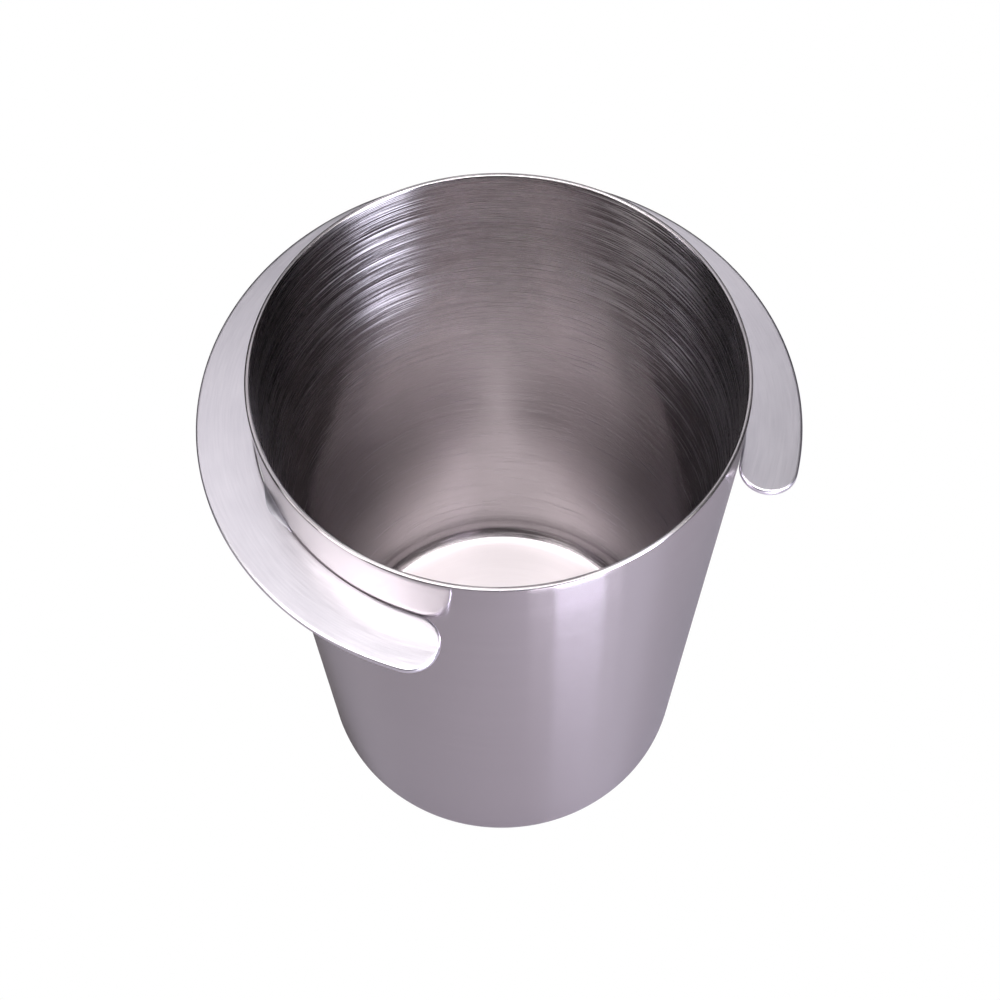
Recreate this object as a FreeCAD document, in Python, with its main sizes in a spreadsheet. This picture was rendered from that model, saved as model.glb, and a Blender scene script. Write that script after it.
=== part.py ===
"""Stainless dosing cup with a fork flange, for a 58 mm espresso basket.

A one-piece drawn cup: flat base, straight tapered wall and a short cylindrical collar at
the mouth. A flat C-shaped flange, open at the front, is slid up the taper to just under the
collar and held there by weld beads. Millimetres. The origin is the centre of the base's flat
face, +Z points up to the mouth and -Y points through the middle of the flange's opening.
"""
import FreeCAD, Part
import math
import os

import Sketcher

DOC = FreeCAD.newDocument("dosing_cup")

# ---------------------------------------------------------------- driving dimensions
SIZES = DOC.addObject("Spreadsheet::Sheet", "Sizes")
DRIVING = [
    ("cup_height", 84, "base to rim"),
    ("mouth_radius", 29, "outside of the collar, which seats in a 58 mm basket"),
    ("base_radius", 26.3, "wall line carried down to the base, before its edge is rounded"),
    ("sheet", 0.6, "thickness of the drawn sheet, wall and floor alike"),
    ("draw_radius", 3, "inside radius between floor and wall"),
    ("rim_round", 0.2, "edge rounding of the cut rim, inside and outside"),
    ("flange_drop", 8.2, "rim to the top of the flange"),
    ("collar_margin", 1, "flange's top to the foot of the collar, where the taper ends"),
    ("flange_radius", 35.8, "outer edge of the flange"),
    ("flange_thickness", 0.8, "plate thickness"),
    ("flange_clearance", 0.05, "gap between the bore and the wall, at the flange's top"),
    ("flange_opening", 92, "degrees between the centres of the flange's rounded ends"),
    ("flange_bevel", 0.2, "bevel round the plate's top edge"),
    ("flange_relief", 0.1, "bevel round the plate's lower edge"),
    ("weld_groove", 0.4, "bevel under the bore that takes the root welds"),
    ("root_weld_leg", 0.5, "leg of a root weld down the wall"),
    ("root_weld_crown", 1.1, "radius of a root weld's face"),
    ("root_weld_turn", 14, "degrees about the cup that one root weld covers"),
    ("root_weld_spread", 240, "degrees from the first root weld to the last"),
    ("root_weld_count", 5, "root welds under the flange"),
    ("top_weld_leg", 0.9, "legs of the blended welds on top"),
    ("top_weld_turn", 15, "degrees about the cup that one blended weld covers"),
    ("top_weld_spread", 180, "degrees between the two blended welds"),
    ("top_weld_count", 2, "blended welds on top"),
]
for row, (alias, number, note) in enumerate(DRIVING, start=1):
    SIZES.set(f"A{row}", str(number))
    SIZES.setAlias(f"A{row}", alias)
    SIZES.set(f"B{row}", note)
DOC.recompute()


class Dimension:
    """A size that knows its present value and the sheet expression it comes from."""

    def __init__(self, value, expression):
        self.value = value
        self.expression = expression

    def __add__(self, other):
        return Dimension(self.value + other.value, f"({self.expression} + {other.expression})")

    def __sub__(self, other):
        return Dimension(self.value - other.value, f"({self.expression} - {other.expression})")


def cell(alias):
    return Dimension(float(getattr(SIZES, alias)), f"Sizes.{alias}")


MOUTH = cell("mouth_radius")
RIM = cell("cup_height")
FLANGE_TOP = RIM - cell("flange_drop")
FLANGE_UNDERSIDE = FLANGE_TOP - cell("flange_thickness")
SHOULDER = FLANGE_TOP + cell("collar_margin")


def wall_at(height):
    """Outside radius of the tapered wall at a height."""
    base = cell("base_radius")
    value = base.value + (MOUTH.value - base.value) * height.value / SHOULDER.value
    return Dimension(value, f"({base.expression} + ({MOUTH.expression} - {base.expression})"
                            f" * {height.expression} / {SHOULDER.expression})")


SEAT = wall_at(FLANGE_TOP)
BORE = SEAT + cell("flange_clearance")


# ---------------------------------------------------------------- sketch helpers
def new_body(name):
    body = DOC.addObject("PartDesign::Body", name)
    body.Label = name
    return body


def new_sketch(body, name, plane_role):
    """Empty sketch on one of the body's own origin planes."""
    sketch = body.newObject("Sketcher::SketchObject", name)
    plane = next(item for item in body.Origin.OriginFeatures if item.Role == plane_role)
    sketch.AttachmentSupport = [(plane, "")]
    sketch.MapMode = "FlatFace"
    return sketch


def point(x, y):
    return FreeCAD.Vector(x, y, 0)


def line(start, end):
    return Part.LineSegment(point(*start), point(*end))


def arc(centre, radius, start_angle, end_angle):
    """Counter-clockwise arc of a sketch, its angles in radians."""
    circle = Part.Circle(point(*centre), FreeCAD.Vector(0, 0, 1), radius)
    return Part.ArcOfCircle(circle, start_angle, end_angle)


def bind(sketch, name, dimension, *where):
    """Adds a dimension to a sketch, names it and ties it to the sheet."""
    index = sketch.addConstraint(Sketcher.Constraint(*where, dimension.value))
    sketch.renameConstraint(index, name)
    sketch.setExpression(f"Constraints.{name}", dimension.expression)


def constrain(sketch, kind, *places):
    """Adds the same kind of size-free constraint at each place."""
    for place in places:
        sketch.addConstraint(Sketcher.Constraint(kind, *place))


def sketched_feature(body, kind, name, sketch, axis=None):
    """PartDesign feature that takes its profile, and its axis if it turns, from a sketch."""
    feature = body.newObject(f"PartDesign::{kind}", name)
    feature.Profile = sketch
    if axis:
        feature.ReferenceAxis = (sketch, [axis])
    return feature


def break_edges(body, kind, name, base, height, length_name, size):
    """Rounds or bevels every edge of a feature that lies at one height."""
    DOC.recompute()
    names = []
    for number, edge in enumerate(base.Shape.Edges, start=1):
        if all(abs(sample.z - height.value) < 1e-4 for sample in edge.discretize(5)):
            names.append(f"Edge{number}")
    feature = body.newObject(f"PartDesign::{kind}", name)
    feature.Base = (base, names)
    feature.setExpression(length_name, size.expression)
    return feature


def ring_section(sketch, corners, face=None):
    """Closed section beside the axis, each corner's radius and height tied to the sheet.

    The last side, from the last corner back to the first, is straight, or an arc whose
    radius is face and which runs counter-clockwise from the first corner to the last.
    """
    places = [(radius.value, height.value) for radius, height in corners]
    sides = [line(a, b) for a, b in zip(places, places[1:])]
    (first_x, first_y), (last_x, last_y) = places[0], places[-1]
    if face:
        chord = math.hypot(last_x - first_x, last_y - first_y)
        rise = math.sqrt(face.value ** 2 - chord ** 2 / 4)
        centre = ((first_x + last_x) / 2 - (last_y - first_y) / chord * rise,
                  (first_y + last_y) / 2 + (last_x - first_x) / chord * rise)
        start = math.atan2(first_y - centre[1], first_x - centre[0])
        end = math.atan2(last_y - centre[1], last_x - centre[0])
        sides.append(arc(centre, face.value, start, end))
    else:
        sides.append(line(places[-1], places[0]))
    sketch.addGeometry(sides, False)
    closing = len(sides) - 1
    constrain(sketch, "Coincident", *[(side, 2, side + 1, 1) for side in range(closing - 1)])
    last_end, first_end = (2, 1) if face else (1, 2)
    constrain(sketch, "Coincident", (closing - 1, 2, closing, last_end), (closing, first_end, 0, 1))
    if face:
        bind(sketch, "face_radius", face, "Radius", closing)
    for number, (radius, height) in enumerate(corners):
        curve, end = (number, 1) if number < closing else (closing - 1, 2)
        bind(sketch, f"radius_{number}", radius, "DistanceX", -1, 1, curve, end)
        bind(sketch, f"height_{number}", height, "DistanceY", -1, 1, curve, end)


# ---------------------------------------------------------------- cup shell
def make_cup_shell():
    """Drawn cup, revolved from one section, then its rim edges rounded."""
    base = cell("base_radius")
    sheet = cell("sheet")
    inside_draw = cell("draw_radius")
    outside_draw = inside_draw + sheet
    lean = math.atan2(MOUTH.value - base.value, SHOULDER.value)
    flat = base.value + outside_draw.value * (math.tan(lean) - 1 / math.cos(lean))
    centre = (flat, outside_draw.value)

    def on_arc(radius):
        """Where an arc about the draw centre passes into the wall's straight line."""
        return flat + radius.value * math.cos(lean), centre[1] - radius.value * math.sin(lean)

    shoulder = (MOUTH.value, SHOULDER.value)
    rim = (MOUTH.value, RIM.value)
    rim_inside = (MOUTH.value - sheet.value, RIM.value)
    shoulder_inside = (MOUTH.value - sheet.value, SHOULDER.value)

    body = new_body("cup_shell")
    sketch = new_sketch(body, "cup_section", "XZ_Plane")
    sketch.addGeometry([
        line((0, 0), (flat, 0)),
        arc(centre, outside_draw.value, -math.pi / 2, -lean),
        line(on_arc(outside_draw), shoulder),
        line(shoulder, rim),
        line(rim, rim_inside),
        line(rim_inside, shoulder_inside),
        line(shoulder_inside, on_arc(inside_draw)),
        arc(centre, inside_draw.value, -math.pi / 2, -lean),
        line((flat, sheet.value), (0, sheet.value)),
        line((0, sheet.value), (0, 0)),
    ], False)
    (base_line, heel, wall, collar, edge, collar_in, wall_in, heel_in, floor, axis) = range(10)
    constrain(sketch, "Coincident", (wall, 2, collar, 1), (collar, 2, edge, 1),
              (edge, 2, collar_in, 1), (collar_in, 2, wall_in, 1), (floor, 2, axis, 1),
              (axis, 2, base_line, 1), (base_line, 1, -1, 1))
    constrain(sketch, "Tangent", (base_line, 2, heel, 1), (heel, 2, wall, 1),
              (wall_in, 2, heel_in, 2), (heel_in, 1, floor, 1))
    constrain(sketch, "Horizontal", (base_line,), (floor,), (edge,))
    constrain(sketch, "Vertical", (collar,), (collar_in,), (axis,))
    constrain(sketch, "Parallel", (wall, wall_in))
    corner = sketch.addGeometry(Part.Point(point(base.value, 0)), True)
    constrain(sketch, "PointOnObject", (corner, 1, wall), (corner, 1, -1))
    bind(sketch, "base_radius", base, "DistanceX", -1, 1, corner, 1)
    bind(sketch, "mouth_radius", MOUTH, "DistanceX", -1, 1, collar, 1)
    bind(sketch, "shoulder_height", SHOULDER, "DistanceY", -1, 1, collar, 1)
    bind(sketch, "rim_height", RIM, "DistanceY", -1, 1, collar, 2)
    bind(sketch, "collar_sheet", sheet, "DistanceX", edge, 2, edge, 1)
    bind(sketch, "wall_sheet", sheet, "Distance", wall_in, 1, wall)
    bind(sketch, "floor_sheet", sheet, "DistanceY", axis, 2, axis, 1)
    bind(sketch, "inside_draw", inside_draw, "Radius", heel_in)
    bind(sketch, "outside_draw", outside_draw, "Radius", heel)
    shell = sketched_feature(body, "Revolution", "cup_revolved", sketch, "V_Axis")
    break_edges(body, "Fillet", "rim_rounded", shell, RIM, "Radius", cell("rim_round"))
    return body


# ---------------------------------------------------------------- fork flange
def make_fork_flange():
    """Flat C-shaped plate round the wall: full-round ends, bevelled edges, weld groove."""
    edge = cell("flange_radius")
    opening = cell("flange_opening")
    clearance = cell("flange_clearance")
    half_width = (edge.value - BORE.value) / 2
    middle = BORE.value + half_width
    right_angle = math.radians(opening.value / 2 - 90)
    left_angle = math.pi - right_angle
    right = (middle * math.cos(right_angle), middle * math.sin(right_angle))
    left = (-right[0], right[1])

    body = new_body("fork_flange")
    sketch = new_sketch(body, "flange_outline", "XY_Plane")
    sketch.setExpression("AttachmentOffset.Base.z", FLANGE_UNDERSIDE.expression)
    sketch.addGeometry([
        arc((0, 0), edge.value, right_angle, left_angle),
        arc(left, half_width, left_angle, left_angle + math.pi),
        arc((0, 0), BORE.value, right_angle, left_angle),
        arc(right, half_width, right_angle - math.pi, right_angle),
    ], False)
    outer, left_end, bore, right_end = range(4)
    right_spoke = sketch.addGeometry(line((0, 0), right), True)
    left_spoke = sketch.addGeometry(line((0, 0), left), True)
    constrain(sketch, "Coincident", (outer, 3, -1, 1), (bore, 3, -1, 1), (right_spoke, 1, -1, 1),
              (right_spoke, 2, right_end, 3), (left_spoke, 1, -1, 1), (left_spoke, 2, left_end, 3))
    constrain(sketch, "Tangent", (outer, 2, left_end, 1), (left_end, 2, bore, 2),
              (outer, 1, right_end, 2), (right_end, 1, bore, 1))
    bind(sketch, "flange_radius", edge, "Radius", outer)
    bind(sketch, "bore_radius", BORE, "Radius", bore)
    right_turn = Dimension(right_angle, f"({opening.expression} / 2 - 90) * 1 deg")
    left_turn = Dimension(left_angle, f"(270 - {opening.expression} / 2) * 1 deg")
    bind(sketch, "right_end_turn", right_turn, "Angle", right_spoke)
    bind(sketch, "left_end_turn", left_turn, "Angle", left_spoke)
    plate = sketched_feature(body, "Pad", "flange_plate", sketch)
    plate.setExpression("Length", cell("flange_thickness").expression)
    bevelled = break_edges(body, "Chamfer", "top_bevel", plate, FLANGE_TOP, "Size",
                           cell("flange_bevel"))
    break_edges(body, "Chamfer", "lower_bevel", bevelled, FLANGE_UNDERSIDE, "Size",
                cell("flange_relief"))

    groove = cell("weld_groove")
    section = new_sketch(body, "weld_groove_section", "XZ_Plane")
    ring_section(section, [
        (SEAT, FLANGE_UNDERSIDE - clearance),
        (BORE + groove + clearance, FLANGE_UNDERSIDE - clearance),
        (SEAT, FLANGE_UNDERSIDE + groove + clearance),
    ])
    sketched_feature(body, "Groove", "weld_groove_turned", section, "V_Axis")
    return body


# ---------------------------------------------------------------- welds
def make_welds(name, corners, face, turn, spread, count):
    """Like weld beads in the corner of flange and wall, spaced evenly about +Y."""
    body = new_body(name)
    body.AllowCompound = True
    sketch = new_sketch(body, f"{name}_section", "YZ_Plane")
    first_turn = FreeCAD.Rotation(FreeCAD.Vector(0, 1, 0), -spread.value / 2)
    sketch.AttachmentOffset = FreeCAD.Placement(FreeCAD.Vector(), first_turn)
    sketch.setExpression("AttachmentOffset.Rotation.Angle", f"-{spread.expression} / 2 * 1 deg")
    ring_section(sketch, corners, face)
    bead = sketched_feature(body, "Revolution", f"{name}_bead", sketch, "V_Axis")
    bead.Midplane = True
    bead.setExpression("Angle", turn.expression)
    DOC.recompute()
    pattern = body.newObject("PartDesign::PolarPattern", f"{name}_spaced")
    pattern.Originals = [bead]
    pattern.Axis = (sketch, ["V_Axis"])
    pattern.setExpression("Angle", spread.expression)
    pattern.setExpression("Occurrences", count.expression)
    body.Tip = pattern
    return body


def make_root_welds():
    """Short beads in the groove under the flange, clear of the plate's flat underside."""
    groove = cell("weld_groove")
    toe = FLANGE_UNDERSIDE - cell("root_weld_leg")
    return make_welds("root_welds", [
        (wall_at(toe), toe),
        (wall_at(FLANGE_UNDERSIDE + groove), FLANGE_UNDERSIDE + groove),
        (BORE, FLANGE_UNDERSIDE + groove),
        (BORE + groove, FLANGE_UNDERSIDE),
    ], cell("root_weld_crown"), cell("root_weld_turn"), cell("root_weld_spread"),
        cell("root_weld_count"))


def make_blended_welds():
    """Two welds on top, ground to a hollow curve that runs into both plate and wall."""
    leg = cell("top_weld_leg")
    bevel = cell("flange_bevel")
    return make_welds("blended_welds", [
        (wall_at(FLANGE_TOP + leg), FLANGE_TOP + leg),
        (wall_at(FLANGE_TOP - bevel), FLANGE_TOP - bevel),
        (BORE, FLANGE_TOP - bevel),
        (BORE + bevel, FLANGE_TOP),
        (SEAT + leg, FLANGE_TOP),
    ], leg, cell("top_weld_turn"), cell("top_weld_spread"), cell("top_weld_count"))


# ---------------------------------------------------------------- build and write
PARTS = [make_cup_shell(), make_fork_flange(), make_root_welds(), make_blended_welds()]
DOC.recompute()

for item in DOC.Objects:
    if {"Invalid", "Error"} & set(item.State):
        raise RuntimeError(f"{item.Label} failed: {item.State}")
for part in PARTS:
    if part.Shape.isNull() or not part.Shape.isValid():
        raise RuntimeError(f"{part.Label} has no valid shape")

os.makedirs("parts", exist_ok=True)
for part in PARTS:
    part.Shape.exportStep(f"parts/{part.Label}.step")
    print(part.Label, len(part.Shape.Solids), "solids,", round(part.Shape.Volume, 2), "mm3")
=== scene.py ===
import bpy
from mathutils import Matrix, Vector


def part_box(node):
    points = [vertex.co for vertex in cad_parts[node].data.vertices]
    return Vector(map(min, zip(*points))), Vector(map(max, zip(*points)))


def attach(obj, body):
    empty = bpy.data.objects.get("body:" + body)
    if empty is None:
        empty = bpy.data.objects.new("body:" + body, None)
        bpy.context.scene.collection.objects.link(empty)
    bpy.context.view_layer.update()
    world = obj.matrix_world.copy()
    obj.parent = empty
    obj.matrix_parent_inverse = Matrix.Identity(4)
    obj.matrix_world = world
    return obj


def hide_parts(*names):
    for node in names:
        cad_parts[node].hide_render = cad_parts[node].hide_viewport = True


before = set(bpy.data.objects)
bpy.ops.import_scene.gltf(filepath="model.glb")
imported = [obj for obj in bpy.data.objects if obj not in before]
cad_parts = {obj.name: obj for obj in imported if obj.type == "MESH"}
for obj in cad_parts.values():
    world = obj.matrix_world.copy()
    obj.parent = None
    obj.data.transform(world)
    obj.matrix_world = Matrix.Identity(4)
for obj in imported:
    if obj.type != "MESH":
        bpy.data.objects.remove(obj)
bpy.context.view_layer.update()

import math
import bpy
from mathutils import Matrix, Vector

# ---------------------------------------------------------------- camera
# One camera looks steeply down into the mouth from the left of the flange's opening,
# close enough for the wall to taper strongly in perspective.
view_turn = math.radians(-28.0)
camera_rise = math.radians(54.75)
camera_reach = 0.1887
camera_tilt = math.radians(30.58)
camera_roll = math.radians(-0.65)

mouth_centre = Vector((0, 0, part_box("cup_shell")[1][2]))
bpy.ops.object.camera_add()
camera = bpy.context.object
camera.name = "camera"
camera.data.lens = 59.34
camera.data.sensor_width = 36.0
camera.data.clip_start = 0.01
turn = Matrix.Rotation(view_turn, 4, "Z")
reach = turn @ Vector((0, -camera_reach * math.cos(camera_rise), camera_reach * math.sin(camera_rise)))
camera.matrix_world = (Matrix.Translation(mouth_centre + reach) @ turn
                       @ Matrix.Rotation(camera_tilt, 4, "X") @ Matrix.Rotation(camera_roll, 4, "Z"))
bpy.context.scene.camera = camera
bpy.context.scene.view_settings.view_transform = "Standard"

# ---------------------------------------------------------------- studio
# A table that only the metal sees, a large soft light overhead with a weaker one spilling past
# it, and a panel behind. A bright light at one side and a low card and strip in front draw the
# bands down the wall, a card and a light stand on the left, and the room is almost dark.
bpy.ops.mesh.primitive_plane_add(size=1.6, location=(0, 0, -0.0002))
floor = bpy.context.object
floor.name = "floor"
floor.visible_camera = False
floor_finish = bpy.data.materials.new("floor_white")
floor_finish.use_nodes = True
floor_shader = floor_finish.node_tree.nodes["Principled BSDF"]
floor_shader.inputs["Base Color"].default_value = (0.232, 0.213, 0.219, 1)
floor_shader.inputs["Roughness"].default_value = 0.9
floor.data.materials.append(floor_finish)
light_aim = Vector((0, 0, 0.06))


def soft_light(name, azimuth, rise, distance, width, height, radiance, colour):
    """Rectangular soft light that faces the cup, placed by its bearing from the cup in degrees."""
    turned = math.radians(azimuth)
    raised = math.radians(rise)
    away = Vector((math.cos(turned) * math.cos(raised), math.sin(turned) * math.cos(raised),
                   math.sin(raised)))
    bpy.ops.object.light_add(type="AREA", location=light_aim + away * distance)
    light = bpy.context.object
    light.name = name
    light.data.shape = "RECTANGLE"
    light.data.size = width
    light.data.size_y = height
    light.data.energy = radiance * math.pi * width * height
    light.data.color = colour
    light.rotation_euler = away.to_track_quat("Z", "Y").to_euler()
    light.visible_camera = False


soft_light("overhead_light", azimuth=242, rise=87, distance=0.60,
           width=0.60, height=0.34, radiance=6.1, colour=(1.0, 0.99, 1.0))
soft_light("overhead_spill", azimuth=242, rise=74, distance=0.60,
           width=0.45, height=0.16, radiance=1.0, colour=(1.0, 1.0, 1.0))
soft_light("back_panel", azimuth=80, rise=57, distance=0.62,
           width=0.60, height=0.16, radiance=1.05, colour=(1.0, 0.99, 1.04))
soft_light("side_light", azimuth=-70, rise=25, distance=0.50,
           width=0.17, height=0.14, radiance=62.0, colour=(0.95, 0.98, 1.17))
soft_light("low_card", azimuth=-92, rise=-18, distance=0.12,
           width=0.065, height=0.050, radiance=3.0, colour=(0.99, 0.97, 1.08))
soft_light("low_strip", azimuth=-91, rise=-16, distance=0.12,
           width=0.034, height=0.045, radiance=15.0, colour=(0.96, 0.95, 1.20))
soft_light("left_card", azimuth=185, rise=8, distance=0.50,
           width=0.15, height=0.40, radiance=3.4, colour=(1.0, 0.97, 1.0))
soft_light("left_light", azimuth=172, rise=40, distance=0.50,
           width=0.30, height=0.20, radiance=3.0, colour=(1.0, 1.0, 1.0))

world = bpy.data.worlds.new("dark_room")
bpy.context.scene.world = world
world.use_nodes = True
room = world.node_tree.nodes["Background"]
room.inputs["Color"].default_value = (0.012, 0.012, 0.013, 1)
backdrop = world.node_tree.nodes.new("ShaderNodeBackground")
backdrop.inputs["Color"].default_value = (1, 1, 1, 1)
seen = world.node_tree.nodes.new("ShaderNodeLightPath")
either = world.node_tree.nodes.new("ShaderNodeMixShader")
world.node_tree.links.new(seen.outputs["Is Camera Ray"], either.inputs[0])
world.node_tree.links.new(room.outputs[0], either.inputs[1])
world.node_tree.links.new(backdrop.outputs[0], either.inputs[2])
world.node_tree.links.new(either.outputs[0], world.node_tree.nodes["World Output"].inputs[0])

# ---------------------------------------------------------------- cup shell
# Deep-drawn stainless sheet, spun to a slight taper up to a short straight collar. It was
# brushed while it turned, so fine rings run round it everywhere, on the floor as well.
sheet = 0.0006
mouth_radius = 0.0290
base_radius = 0.0263
cup_height = mouth_centre.z
collar_height = 0.0072
shoulder_height = cup_height - collar_height
rim_round = 0.0002
heel_inside = 0.0030
lean = math.atan2(mouth_radius - base_radius, shoulder_height)
turned_steps, rim_steps, heel_steps = 256, 4, 10
wall_cuts, base_cuts, collar_cuts = 47, 11, 7
near = 1e-6
doubled = 1e-7


def drawn_line(name, corners):
    """Chain of edges through corners in the XZ plane, drawn by extruding one vertex."""
    bpy.ops.object.select_all(action="DESELECT")
    bpy.ops.mesh.primitive_plane_add(size=0.001, location=(0, 0, 0))
    drawn = bpy.context.object
    drawn.name = name
    drawn.data.name = name
    bpy.ops.object.mode_set(mode="EDIT")
    bpy.ops.mesh.merge(type="CENTER")
    here = Vector((0, 0, 0))
    place = Vector((corners[0][0], 0, corners[0][1]))
    bpy.ops.transform.translate(value=place - here)
    here = place
    for x, z in corners[1:]:
        place = Vector((x, 0, z))
        bpy.ops.mesh.extrude_region_move(TRANSFORM_OT_translate={"value": place - here})
        here = place
    bpy.ops.object.mode_set(mode="OBJECT")
    return drawn


def pick(piece, kind, test):
    """Selects only the vertices, edges or faces of a piece that pass a test on their place."""
    mesh = piece.data
    for part in (mesh.vertices, mesh.edges, mesh.polygons):
        part.foreach_set("select", [False] * len(part))
    bpy.ops.object.mode_set(mode="EDIT")
    bpy.ops.mesh.select_mode(type=kind)
    bpy.ops.mesh.select_all(action="DESELECT")
    bpy.ops.object.mode_set(mode="OBJECT")
    if kind == "VERT":
        chosen = [(item, test(item.co)) for item in mesh.vertices]
    elif kind == "EDGE":
        chosen = [(item, test(*(mesh.vertices[v].co for v in item.vertices))) for item in mesh.edges]
    else:
        chosen = [(item, test(item.center, item.normal)) for item in mesh.polygons]
    for item, wanted in chosen:
        item.select = wanted
    bpy.ops.object.mode_set(mode="EDIT")


def at(x, z):
    """Test for a vertex of a drawn line at one place."""
    return lambda co: abs(co.x - x) < near and abs(co.z - z) < near


def longer_than(length, axis):
    """Test for an edge that is longer than a length along one axis."""
    return lambda a, b: abs(a[axis] - b[axis]) > length


base_inside = base_radius - sheet / math.cos(lean) + sheet * math.tan(lean)
shoulder_inside = shoulder_height + sheet * math.tan(lean / 2)
cup = drawn_line("cup_shell_brushed", [
    (0, 0),
    (base_radius, 0),
    (mouth_radius, shoulder_height),
    (mouth_radius, cup_height),
    (mouth_radius - sheet, cup_height),
    (mouth_radius - sheet, shoulder_inside),
    (base_inside, sheet),
    (0, sheet),
])


def round_corner(piece, x, z, radius, turned, steps):
    """Rounds one corner of a drawn line, where the line turns by an angle, to a radius."""
    pick(piece, "VERT", at(x, z))
    bpy.ops.mesh.bevel(offset=radius * math.tan(turned / 2), offset_type="OFFSET", segments=steps,
                       affect="VERTICES", profile=0.5)
    bpy.ops.object.mode_set(mode="OBJECT")


def divide(piece, cuts, test):
    """Cuts each chosen long edge of a drawn line into equal lengths."""
    pick(piece, "EDGE", test)
    bpy.ops.mesh.subdivide(number_cuts=cuts)
    bpy.ops.object.mode_set(mode="OBJECT")


round_corner(cup, mouth_radius, cup_height, rim_round, math.pi / 2, rim_steps)
round_corner(cup, mouth_radius - sheet, cup_height, rim_round, math.pi / 2, rim_steps)
round_corner(cup, base_radius, 0, heel_inside + sheet, math.pi / 2 - lean, heel_steps)
round_corner(cup, base_inside, sheet, heel_inside, math.pi / 2 - lean, heel_steps)
divide(cup, wall_cuts, longer_than(cup_height / 2, axis=2))
divide(cup, base_cuts, longer_than(base_radius / 2, axis=0))
divide(cup, collar_cuts, longer_than(collar_height / 2, axis=2))

pick(cup, "VERT", lambda co: True)
bpy.ops.mesh.spin(steps=turned_steps, angle=math.tau, center=(0, 0, 0), axis=(0, 0, 1))
bpy.ops.mesh.select_all(action="SELECT")
bpy.ops.mesh.remove_doubles(threshold=doubled)
bpy.ops.mesh.normals_make_consistent(inside=False)
bpy.ops.object.mode_set(mode="OBJECT")
bpy.ops.object.shade_smooth_by_angle(angle=math.radians(30))


def apply_modifier(piece, name, kind, **settings):
    """Adds a modifier with its settings to a piece and applies it."""
    modifier = piece.modifiers.new(name, kind)
    for setting, value in settings.items():
        setattr(modifier, setting, value)
    bpy.ops.object.select_all(action="DESELECT")
    piece.select_set(True)
    bpy.context.view_layer.objects.active = piece
    bpy.ops.object.modifier_apply(modifier=name)


# Spinning leaves the wall about a hundredth of a millimetre out of true, less near its two ends.
ripple_foot = 0.006
ripple_head = shoulder_height - 0.004
ripple_fade = 0.010
ripple_size = 0.022
ripple_range = 0.00002
walls = cup.vertex_groups.new(name="tapered_wall")
for corner in cup.data.vertices:
    into_wall = min(corner.co.z - ripple_foot, ripple_head - corner.co.z) / ripple_fade
    if into_wall > 0:
        walls.add([corner.index], min(into_wall, 1.0), "REPLACE")
ripple = bpy.data.textures.new("spinning_ripple", type="CLOUDS")
ripple.noise_scale = ripple_size
apply_modifier(cup, "spinning_ripple", "DISPLACE", texture=ripple, texture_coords="LOCAL",
               vertex_group=walls.name, mid_level=0.5, strength=ripple_range)


def node_group(name, inputs, outputs):
    """Empty shader node group with number inputs and outputs."""
    group = bpy.data.node_groups.new(name, "ShaderNodeTree")
    for socket, value in inputs:
        item = group.interface.new_socket(socket, in_out="INPUT", socket_type="NodeSocketFloat")
        item.default_value = value
    for socket in outputs:
        group.interface.new_socket(socket, in_out="OUTPUT", socket_type="NodeSocketFloat")
    return group, group.nodes.new("NodeGroupInput"), group.nodes.new("NodeGroupOutput")


def calculate(tree, operation, *terms, clamp=False):
    """Math node. A term is a number or another node's output."""
    node = tree.nodes.new("ShaderNodeMath")
    node.operation = operation
    node.use_clamp = clamp
    for socket, term in zip(node.inputs, terms):
        if isinstance(term, (int, float)):
            socket.default_value = term
        else:
            tree.links.new(term, socket)
    return node.outputs[0]


def place_on_piece(tree):
    """The place that is being shaded: x, y, z and the distance from the axis, in metres."""
    where = tree.nodes.new("ShaderNodeTexCoord")
    split = tree.nodes.new("ShaderNodeSeparateXYZ")
    tree.links.new(where.outputs["Object"], split.inputs[0])
    x, y, z = split.outputs
    radius = calculate(tree, "SQRT", calculate(tree, "ADD", calculate(tree, "MULTIPLY", x, x),
                                               calculate(tree, "MULTIPLY", y, y)))
    return x, y, z, radius


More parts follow.
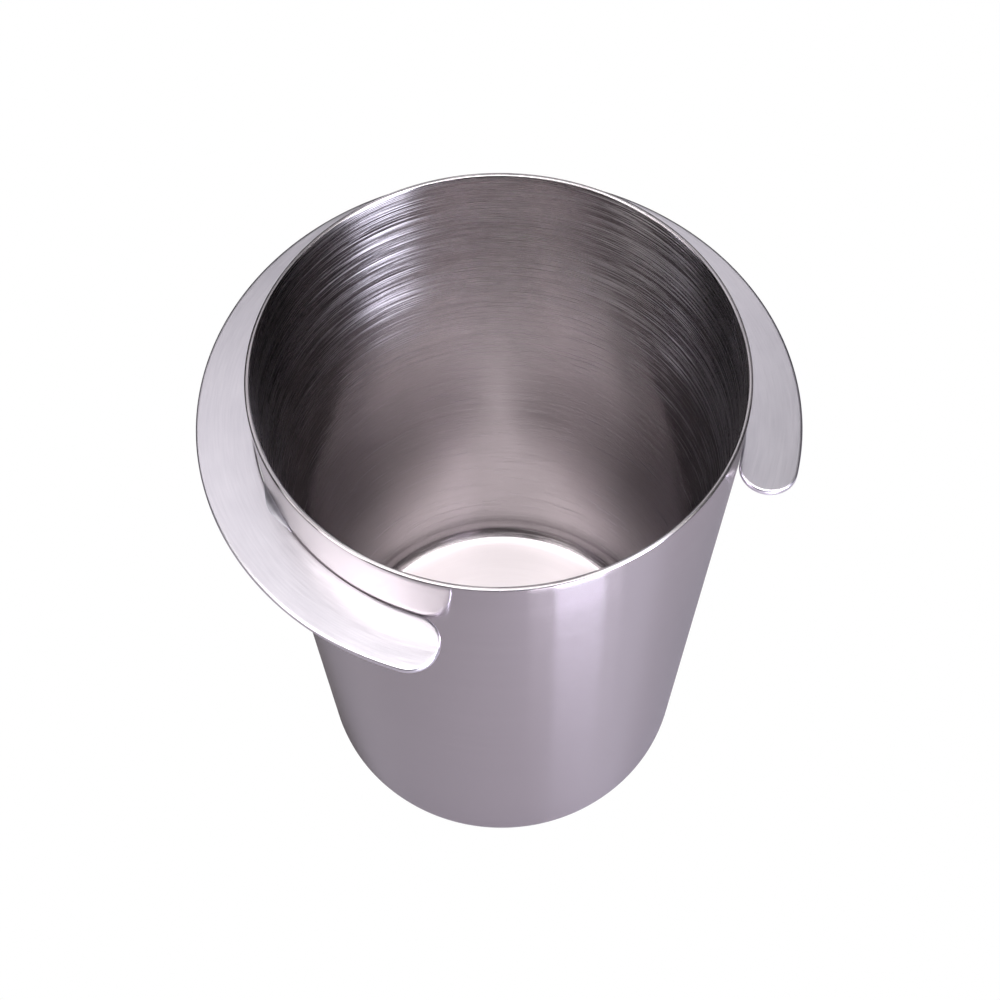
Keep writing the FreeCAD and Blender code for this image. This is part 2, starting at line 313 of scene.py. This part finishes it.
def make_turned_brushing():
    """Rings left by brushing a turning piece: fine grain, single scratches, broad bands."""
    mm_per_metre = 1000.0
    scratch_edge, scratch_edge_range, scratch_hardness = 0.78, 0.3, 9.0
    tree, given, out = node_group("turned_brushing", [
        ("Grain Per mm", 5.0), ("Arc", 2.5), ("Scratch Share", 0.3), ("Seed", 0.0),
    ], ["Grain", "Scratch", "Band"])
    x, y, z, radius = place_on_piece(tree)
    smallest_ring = 1e-4
    safe_radius = calculate(tree, "MAXIMUM", radius, smallest_ring)
    along_x = calculate(tree, "DIVIDE", x, safe_radius)
    along_y = calculate(tree, "DIVIDE", y, safe_radius)
    across = calculate(tree, "MULTIPLY", calculate(tree, "ADD", radius, z), mm_per_metre)

    def rings(arc_share, per_mm, shift, detail):
        """Noise stretched into rings: slow round the piece, quick across it."""
        place = tree.nodes.new("ShaderNodeCombineXYZ")
        stretch = calculate(tree, "MULTIPLY", given.outputs["Arc"], arc_share)
        density = calculate(tree, "MULTIPLY", given.outputs["Grain Per mm"], per_mm)
        tree.links.new(calculate(tree, "MULTIPLY", along_x, stretch), place.inputs[0])
        tree.links.new(calculate(tree, "MULTIPLY", along_y, stretch), place.inputs[1])
        lifted = calculate(tree, "ADD", calculate(tree, "MULTIPLY", across, density),
                           calculate(tree, "ADD", given.outputs["Seed"], shift))
        tree.links.new(lifted, place.inputs[2])
        noise = tree.nodes.new("ShaderNodeTexNoise")
        noise.inputs["Scale"].default_value = 1.0
        noise.inputs["Detail"].default_value = detail
        tree.links.new(place.outputs[0], noise.inputs["Vector"])
        return noise.outputs["Fac"]

    grain = rings(arc_share=1.0, per_mm=1.0, shift=0.0, detail=3.0)
    tree.links.new(grain, out.inputs["Grain"])
    line = rings(arc_share=1.6, per_mm=0.55, shift=40.0, detail=1.0)
    commoner = calculate(tree, "MULTIPLY", given.outputs["Scratch Share"], scratch_edge_range)
    over_edge = calculate(tree, "SUBTRACT", line, calculate(tree, "SUBTRACT", scratch_edge, commoner))
    tree.links.new(calculate(tree, "MULTIPLY", over_edge, scratch_hardness, clamp=True),
                   out.inputs["Scratch"])
    band = rings(arc_share=0.7, per_mm=0.07, shift=90.0, detail=2.0)
    tree.links.new(band, out.inputs["Band"])
    return tree


turned_brushing = make_turned_brushing()


def make_cup_regions():
    """Masks from 0 to 1: the cup's inside, its floor's upper face, and the part near its mouth."""
    floor_layer = 2.6
    tree, given, out = node_group("cup_regions", [
        ("Base Radius", base_radius), ("Taper", 0.035), ("Half Sheet", sheet / 2),
        ("Mouth From", 0.045), ("Mouth To", 0.068),
    ], ["Inside", "Floor", "Mouth"])
    x, y, z, radius = place_on_piece(tree)
    wall = calculate(tree, "ADD", given.outputs["Base Radius"],
                     calculate(tree, "MULTIPLY", given.outputs["Taper"], z))
    middle = calculate(tree, "SUBTRACT", wall, given.outputs["Half Sheet"])
    above = calculate(tree, "GREATER_THAN", z, given.outputs["Half Sheet"])
    inside = calculate(tree, "MULTIPLY", calculate(tree, "LESS_THAN", radius, middle), above)
    floor_top = calculate(tree, "MULTIPLY", given.outputs["Half Sheet"], floor_layer)
    low = calculate(tree, "LESS_THAN", z, floor_top)
    tree.links.new(inside, out.inputs["Inside"])
    tree.links.new(calculate(tree, "MULTIPLY", inside, low), out.inputs["Floor"])
    upper = tree.nodes.new("ShaderNodeMapRange")
    tree.links.new(z, upper.inputs["Value"])
    tree.links.new(given.outputs["Mouth From"], upper.inputs["From Min"])
    tree.links.new(given.outputs["Mouth To"], upper.inputs["From Max"])
    tree.links.new(upper.outputs["Result"], out.inputs["Mouth"])
    return tree


cup_regions = make_cup_regions()


def by_region(tree, regions, outside, inside, floor_face):
    """One number outside the cup, another on its inner wall and a third on its floor."""
    to_inside = calculate(tree, "MULTIPLY", regions.outputs["Inside"], inside - outside)
    to_floor = calculate(tree, "MULTIPLY", regions.outputs["Floor"], floor_face - inside)
    return calculate(tree, "ADD", calculate(tree, "ADD", to_inside, outside), to_floor)


def two_tone(tree, shader, first, second, share):
    """Gives a shader a base colour between two colours, by a share from 0 to 1."""
    tone = tree.nodes.new("ShaderNodeMix")
    tone.data_type = "RGBA"
    tone.inputs["A"].default_value = (*first, 1)
    tone.inputs["B"].default_value = (*second, 1)
    tree.links.new(share, tone.inputs["Factor"])
    tree.links.new(tone.outputs["Result"], shader.inputs["Base Color"])


def fine_relief(tree, shader, height, depth):
    """Gives a shader a bump: a height from 0 to 1, times a depth in metres."""
    relief = tree.nodes.new("ShaderNodeBump")
    relief.inputs["Strength"].default_value = 1.0
    relief.inputs["Distance"].default_value = depth
    tree.links.new(height, relief.inputs["Height"])
    tree.links.new(relief.outputs["Normal"], shader.inputs["Normal"])


def steel(name, dark, bright, smooth, rough, tear, anisotropy, grain_per_mm, arc, scratch_share,
          depth, seed):
    """Brushed stainless steel: rings vary its colour, roughness and fine relief.

    Smooth and rough are the roughness between torn lines and on them, tear is how strongly
    lines are torn, and depth is the relief's height in metres. For the cup, smooth and rough
    are three numbers each, for its outside, its inner wall and its floor, and the lines are
    torn most near its mouth.
    """
    grain_share, band_share, scratch_gleam, scratch_sink = 0.6, 0.4, 0.25, 0.6
    torn_edge, torn_hardness, torn_at_foot = 0.40, 3.0, 0.55
    relief_shares = (0.15, 1.0, 0.6)
    regional = isinstance(smooth, tuple)
    finish = bpy.data.materials.new(name)
    finish.use_nodes = True
    tree = finish.node_tree
    shader = tree.nodes["Principled BSDF"]
    shader.inputs["Metallic"].default_value = 1.0
    shader.inputs["Anisotropic"].default_value = anisotropy
    quarter_turn = 0.25
    shader.inputs["Anisotropic Rotation"].default_value = quarter_turn
    around = tree.nodes.new("ShaderNodeTangent")
    around.direction_type = "RADIAL"
    around.axis = "Z"
    tree.links.new(around.outputs[0], shader.inputs["Tangent"])
    brushing = tree.nodes.new("ShaderNodeGroup")
    brushing.node_tree = turned_brushing
    for socket, value in (("Grain Per mm", grain_per_mm), ("Arc", arc),
                          ("Scratch Share", scratch_share), ("Seed", seed)):
        brushing.inputs[socket].default_value = value
    grain, scratch, band = (brushing.outputs[n] for n in ("Grain", "Scratch", "Band"))

    mixed = calculate(tree, "ADD", calculate(tree, "MULTIPLY", grain, grain_share),
                      calculate(tree, "MULTIPLY", band, band_share))
    gleam = calculate(tree, "MULTIPLY", scratch, scratch_gleam)
    two_tone(tree, shader, dark, bright, calculate(tree, "ADD", mixed, gleam, clamp=True))

    torn = calculate(tree, "MULTIPLY", calculate(tree, "SUBTRACT", grain, torn_edge), torn_hardness,
                     clamp=True)
    torn = calculate(tree, "MULTIPLY", torn, tear)
    if regional:
        regions = tree.nodes.new("ShaderNodeGroup")
        regions.node_tree = cup_regions
        coarser = calculate(tree, "MULTIPLY", regions.outputs["Mouth"], 1.0 - torn_at_foot)
        torn = calculate(tree, "MULTIPLY", torn, calculate(tree, "ADD", coarser, torn_at_foot))
    torn = calculate(tree, "ADD", torn, scratch, clamp=True)
    spread = tree.nodes.new("ShaderNodeMapRange")
    tree.links.new(torn, spread.inputs["Value"])
    if regional:
        tree.links.new(by_region(tree, regions, *smooth), spread.inputs["To Min"])
        tree.links.new(by_region(tree, regions, *rough), spread.inputs["To Max"])
    else:
        spread.inputs["To Min"].default_value = smooth
        spread.inputs["To Max"].default_value = rough
    tree.links.new(spread.outputs["Result"], shader.inputs["Roughness"])

    height = calculate(tree, "SUBTRACT", grain, calculate(tree, "MULTIPLY", scratch, scratch_sink))
    if regional:
        height = calculate(tree, "MULTIPLY", height, by_region(tree, regions, *relief_shares))
    fine_relief(tree, shader, height, depth)
    return finish


cup.data.materials.append(steel("turned_stainless", dark=(0.47, 0.435, 0.445),
                                bright=(0.56, 0.52, 0.53), smooth=(0.14, 0.10, 0.34),
                                rough=(0.17, 0.50, 0.46), tear=0.9, anisotropy=1.0,
                                grain_per_mm=10.0, arc=2.5, scratch_share=0.15,
                                depth=0.00001, seed=0.0))
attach(cup, "root")
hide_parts("cup_shell")

# ---------------------------------------------------------------- fork flange
# Flat stainless plate in the shape of a C, punched out, tumbled smooth and slid up the taper
# to just under the collar. Its two ends are full rounds and its edges are bevelled bright.
flange_top = cup_height - 0.0082
flange_thickness = 0.0008
flange_radius = 0.0358
taper = (mouth_radius - base_radius) / shoulder_height
slide_gap = 0.00005
flange_bore = base_radius + taper * flange_top + slide_gap
flange_bevel, flange_relief = 0.0002, 0.0001
weld_groove = 0.0004
groove_rise = weld_groove * 0.9
end_turn = math.radians(46)
end_round = (flange_radius - flange_bore) / 2
plate_middle = flange_bore + end_round
plate_steps = 200
end_steps = 24
strips_each_side = 3

start = Vector((math.sin(end_turn), -math.cos(end_turn), 0))
underside = Vector((0, 0, flange_top - flange_thickness))
bpy.ops.object.select_all(action="DESELECT")
bpy.ops.mesh.primitive_plane_add(size=0.001, location=(0, 0, 0))
flange = bpy.context.object
flange.name = "fork_flange_plate"
flange.data.name = "fork_flange_plate"
bpy.ops.object.mode_set(mode="EDIT")
bpy.ops.mesh.merge(type="CENTER")
bpy.ops.transform.translate(value=start * flange_bore + underside)
strip = (end_round - weld_groove) / strips_each_side
for width in [weld_groove] + [strip] * (2 * strips_each_side) + [weld_groove]:
    bpy.ops.mesh.extrude_region_move(TRANSFORM_OT_translate={"value": start * width})
bpy.ops.mesh.select_all(action="SELECT")
bpy.ops.mesh.spin(steps=plate_steps, angle=2 * end_turn - math.tau, center=(0, 0, 0), axis=(0, 0, 1))
bpy.ops.object.mode_set(mode="OBJECT")


def round_end(side):
    """Turns the outer half of one end's edge about its middle, which makes the end round."""
    line = Vector((side * start.x, start.y, 0))
    across = Vector((-line.y, line.x, 0))

    def on_end(co):
        flat = Vector((co.x, co.y, 0))
        return abs(flat.dot(across)) < near and flat.dot(line) > plate_middle - near

    pick(flange, "EDGE", lambda a, b: on_end(a) and on_end(b))
    bpy.ops.mesh.duplicate()
    bpy.ops.mesh.spin(steps=end_steps, angle=side * math.pi, center=line * plate_middle + underside,
                      axis=(0, 0, 1))
    bpy.ops.object.mode_set(mode="OBJECT")


round_end(1)
round_end(-1)
pick(flange, "VERT", lambda co: True)
bpy.ops.mesh.remove_doubles(threshold=doubled)
bpy.ops.mesh.normals_make_consistent(inside=False)
bpy.ops.object.mode_set(mode="OBJECT")

facing_up = sum(face.normal.z for face in flange.data.polygons) > 0
apply_modifier(flange, "plate_thickness", "SOLIDIFY", thickness=flange_thickness,
               offset=1 if facing_up else -1, use_even_offset=True)


def on_outline(co):
    """True on the plate's outer edge, bore or full-round ends."""
    radius = math.hypot(co.x, co.y)
    if abs(radius - flange_radius) < 2 * near or abs(radius - flange_bore) < 2 * near:
        return True
    centre = Vector((math.copysign(start.x, co.x), start.y, 0)) * plate_middle
    return abs(math.hypot(co.x - centre.x, co.y - centre.y) - end_round) < 2 * near


def outline_at(height):
    """Test for the edges of the plate's outline at one height."""
    return lambda a, b: all(abs(co.z - height) < near and on_outline(co) for co in (a, b))


pick(flange, "EDGE", outline_at(flange_top))
bpy.ops.mesh.bevel(offset=flange_bevel, segments=3, profile=0.5)
bpy.ops.object.mode_set(mode="OBJECT")
pick(flange, "EDGE", outline_at(flange_top - flange_thickness))
bpy.ops.mesh.bevel(offset=flange_relief, segments=2, profile=0.5)
bpy.ops.object.mode_set(mode="OBJECT")


def under_bore(co):
    """True on the lower edge of the plate's bore, up to just short of its round ends."""
    low = co.z < flange_top - flange_thickness / 2
    inmost = math.hypot(co.x, co.y) < flange_bore + weld_groove / 2
    short_of_end = math.atan2(co.y, abs(co.x)) > end_turn - math.pi / 2 + math.radians(2)
    return low and inmost and short_of_end


# Lifting the bore's lower edge makes the sloping groove that the root welds fill.
pick(flange, "VERT", under_bore)
bpy.ops.transform.translate(value=(0, 0, groove_rise))
bpy.ops.object.mode_set(mode="OBJECT")
bpy.ops.object.shade_smooth_by_angle(angle=math.radians(35))
apply_modifier(flange, "flat_shading_kept", "WEIGHTED_NORMAL", keep_sharp=True)

# Painted light: the plate gets a lighter, lavender colour than the cup's same stainless, standing in
# for the overhead light that its upturned face catches.
flange.data.materials.append(steel("tumbled_stainless_painted_light", dark=(0.64, 0.61, 0.655),
                                   bright=(0.90, 0.86, 0.90), smooth=0.28, rough=0.34, tear=0.4,
                                   anisotropy=0.2, grain_per_mm=4.0, arc=8.0, scratch_share=0.0,
                                   depth=0.000008, seed=200.0))
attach(flange, "root")
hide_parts("fork_flange")

# ---------------------------------------------------------------- root welds
# Five short beads run in the groove between the flange's underside and the wall. Each was
# laid in overlapping puddles, so it has ripples across it and rounded, thinner ends.
def wall_at(height):
    """Outside radius of the tapered wall at a height."""
    return base_radius + taper * height


def along_arc(first, last, radius, pieces):
    """Points of an arc from last back to first, its centre on the left of first to last."""
    chord = last - first
    middle = (first + last) / 2
    rise = math.sqrt(radius ** 2 - chord.length_squared / 4)
    centre = middle + Vector((-chord.y, chord.x)).normalized() * rise
    start_angle = math.atan2(first.y - centre.y, first.x - centre.x)
    end_angle = math.atan2(last.y - centre.y, last.x - centre.x)
    sweep = (end_angle - start_angle) % math.tau
    return [centre + radius * Vector((math.cos(start_angle + sweep * k / pieces),
                                      math.sin(start_angle + sweep * k / pieces)))
            for k in range(pieces, -1, -1)]


def turned_bead(name, section, centre_angle, turn, steps, root, size_at):
    """Spins a section into a bead about Z, then sizes each ring of it about its root point."""
    bead = drawn_line(name, list(section) + [section[0]])
    pick(bead, "VERT", lambda co: True)
    bpy.ops.mesh.remove_doubles(threshold=doubled / 10)
    bpy.ops.mesh.edge_face_add()
    bpy.ops.mesh.spin(steps=steps, angle=-turn, center=(0, 0, 0), axis=(0, 0, 1))
    bpy.ops.mesh.select_all(action="SELECT")
    bpy.ops.mesh.normals_make_consistent(inside=False)
    bpy.ops.object.mode_set(mode="OBJECT")
    for ring in range(steps + 1):
        angle = turn * ring / steps
        outwards = Vector((math.cos(angle), math.sin(angle), 0))
        sideways = Vector((-outwards.y, outwards.x, 0))
        pick(bead, "VERT", lambda co: abs(co.dot(sideways)) < near)
        size = size_at(ring / steps)
        middle = outwards * root.x + Vector((0, 0, root.y))
        bpy.ops.transform.resize(value=(size, size, size), center_override=middle)
        bpy.ops.object.mode_set(mode="OBJECT")
    pick(bead, "VERT", lambda co: True)
    bpy.ops.transform.rotate(value=turn / 2 - centre_angle, orient_axis="Z", orient_type="GLOBAL",
                             center_override=(0, 0, 0))
    bpy.ops.object.mode_set(mode="OBJECT")
    return bead


def join_beads(beads, name):
    """Makes one smooth object of several beads."""
    bpy.ops.object.select_all(action="DESELECT")
    for bead in beads:
        bead.select_set(True)
    bpy.context.view_layer.objects.active = beads[0]
    bpy.ops.object.join()
    bpy.ops.object.shade_smooth_by_angle(angle=math.radians(50))
    beads[0].name = beads[0].data.name = name
    return beads[0]


flange_foot = flange_top - flange_thickness
bead_leg, bead_crown, bead_lift = 0.0005, 0.0011, 0.0002
bead_turn, bead_steps = math.radians(14), 42
bead_places = (-150, -30, 30, 90, 150)
puddle_count, puddle_height, rounded_share, thinnest = 7, 0.07, 0.14, 0.03
bead_toe = flange_foot - bead_leg
bead_edge = Vector((flange_bore + weld_groove, flange_foot))
bead_section = [Vector((wall_at(flange_foot + weld_groove), flange_foot + weld_groove)),
                Vector((flange_bore, flange_foot + weld_groove))]
bead_section += along_arc(Vector((wall_at(bead_toe), bead_toe)), bead_edge, bead_crown, pieces=8)
bead_root = Vector((flange_bore, flange_foot + bead_lift))


def puddles(share):
    """Size of a bead's ring: thin at its rounded ends, and rippled by overlapping puddles."""
    from_end = min(share, 1 - share) / rounded_share
    rounded = math.sqrt(max(thinnest, 1 - max(0.0, 1 - from_end) ** 2))
    puddle = puddle_height * math.cos(math.tau * puddle_count * share)
    return rounded * (1 - puddle_height + puddle)


beads = [turned_bead(f"root_bead_{place + 180}", bead_section, math.radians(place), bead_turn,
                     bead_steps, bead_root, puddles) for place in bead_places]
root_welds = join_beads(beads, "root_weld_beads")


def make_weld_colour():
    """Patches of heat tint and small pits of weld metal, as masks from 0 to 1."""
    tree, given, out = node_group("weld_tint", [("Tint Size", 900.0)], ["Tint", "Pits"])
    where = tree.nodes.new("ShaderNodeTexCoord")
    for name, share, detail in (("Tint", 1.0, 2.0), ("Pits", 6.0, 4.0)):
        noise = tree.nodes.new("ShaderNodeTexNoise")
        tree.links.new(where.outputs["Object"], noise.inputs["Vector"])
        scale = calculate(tree, "MULTIPLY", given.outputs["Tint Size"], share)
        tree.links.new(scale, noise.inputs["Scale"])
        noise.inputs["Detail"].default_value = detail
        tree.links.new(noise.outputs["Fac"], out.inputs[name])
    return tree


weld_colour = make_weld_colour()


def weld_metal(name, plain, tinted, roughness, depth):
    """Bare weld metal, tinted in patches and slightly pitted."""
    finish = bpy.data.materials.new(name)
    finish.use_nodes = True
    tree = finish.node_tree
    shader = tree.nodes["Principled BSDF"]
    shader.inputs["Metallic"].default_value = 1.0
    shader.inputs["Roughness"].default_value = roughness
    colours = tree.nodes.new("ShaderNodeGroup")
    colours.node_tree = weld_colour
    two_tone(tree, shader, plain, tinted, colours.outputs["Tint"])
    fine_relief(tree, shader, colours.outputs["Pits"], depth)
    return finish


root_welds.data.materials.append(weld_metal("root_weld_metal", plain=(0.66, 0.62, 0.62),
                                            tinted=(0.42, 0.37, 0.36), roughness=0.34, depth=0.00003))
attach(root_welds, "root")
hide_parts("root_welds")

# ---------------------------------------------------------------- blended welds
# Two welds on top, one by each side of the cup, were ground and brushed to a hollow curve
# that runs out thin at both ends, so the plate seems to grow out of the wall there.
blend_leg, blend_sunk = 0.0009, 0.0002
blend_turn, blend_steps = math.radians(15), 30
blend_places = (0, 180)
thin_end, run_out_curve = 0.05, 0.7
blend_top = Vector((wall_at(flange_top + blend_leg), flange_top + blend_leg))
blend_edge = Vector((wall_at(flange_top) + blend_leg, flange_top))
blend_section = [Vector((wall_at(flange_top - blend_sunk), flange_top - blend_sunk)),
                 Vector((flange_bore, flange_top - blend_sunk)),
                 Vector((flange_bore + blend_sunk, flange_top))]
blend_section += along_arc(blend_top, blend_edge, blend_leg, pieces=10)
blend_root = Vector((flange_bore, flange_top - blend_sunk / 2))


def run_out(share):
    """Size of a blended weld's ring: full in the middle, and thin at both ends."""
    return max(thin_end, math.sin(math.pi * share)) ** run_out_curve


blends = [turned_bead(f"blended_weld_{place}", blend_section, math.radians(place), blend_turn,
                      blend_steps, blend_root, run_out) for place in blend_places]
blended_welds = join_beads(blends, "blended_weld_fillets")
blended_welds.data.materials.append(weld_metal("ground_weld_metal", plain=(0.56, 0.54, 0.58),
                                               tinted=(0.30, 0.29, 0.33), roughness=0.42,
                                               depth=0.00001))
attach(blended_welds, "root")
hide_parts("blended_welds")
